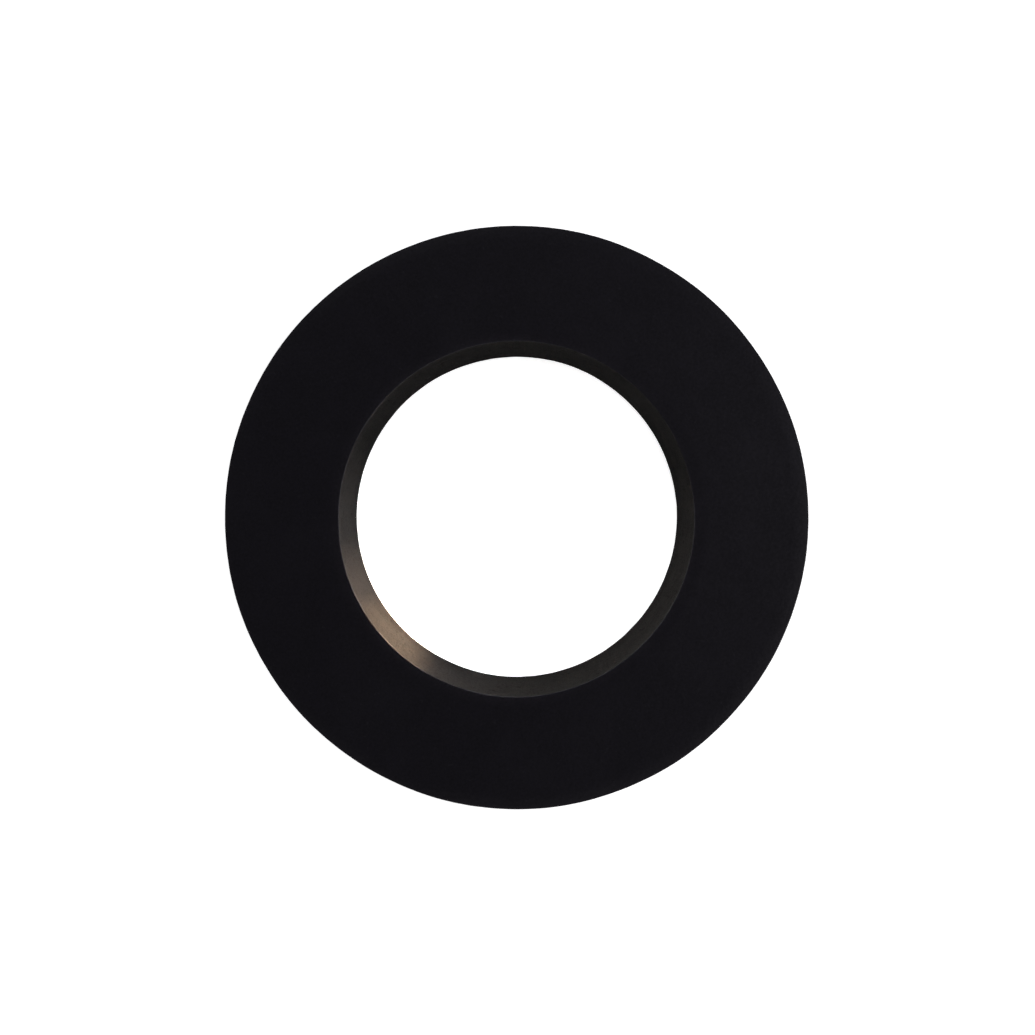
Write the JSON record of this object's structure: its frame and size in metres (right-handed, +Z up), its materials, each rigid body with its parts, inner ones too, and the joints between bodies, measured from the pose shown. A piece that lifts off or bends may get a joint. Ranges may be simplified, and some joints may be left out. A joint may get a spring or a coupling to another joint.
{
  "type": "toilet flange seal ring",
  "caption": "Thick round sponge rubber ring that seals a toilet's outlet onto the closet flange in the floor.",
  "frame": {"origin": "centre of the bore, on the plane of the face that rests on the closet flange", "axes": "+Z up along the bore axis, from the closet flange to the toilet; +X and +Y are any two directions across the flat face, since the ring is the same all round"},
  "size_m": [0.146, 0.146, 0.0254],
  "materials": {
    "sponge_rubber": "matte black closed-cell sponge rubber, fine moulded skin on the flat faces, matte cut foam on the bore and outside walls"
  },
  "bodies": {
    "root": {"seal_ring": "sponge_rubber"}
  },
  "joints": []
}
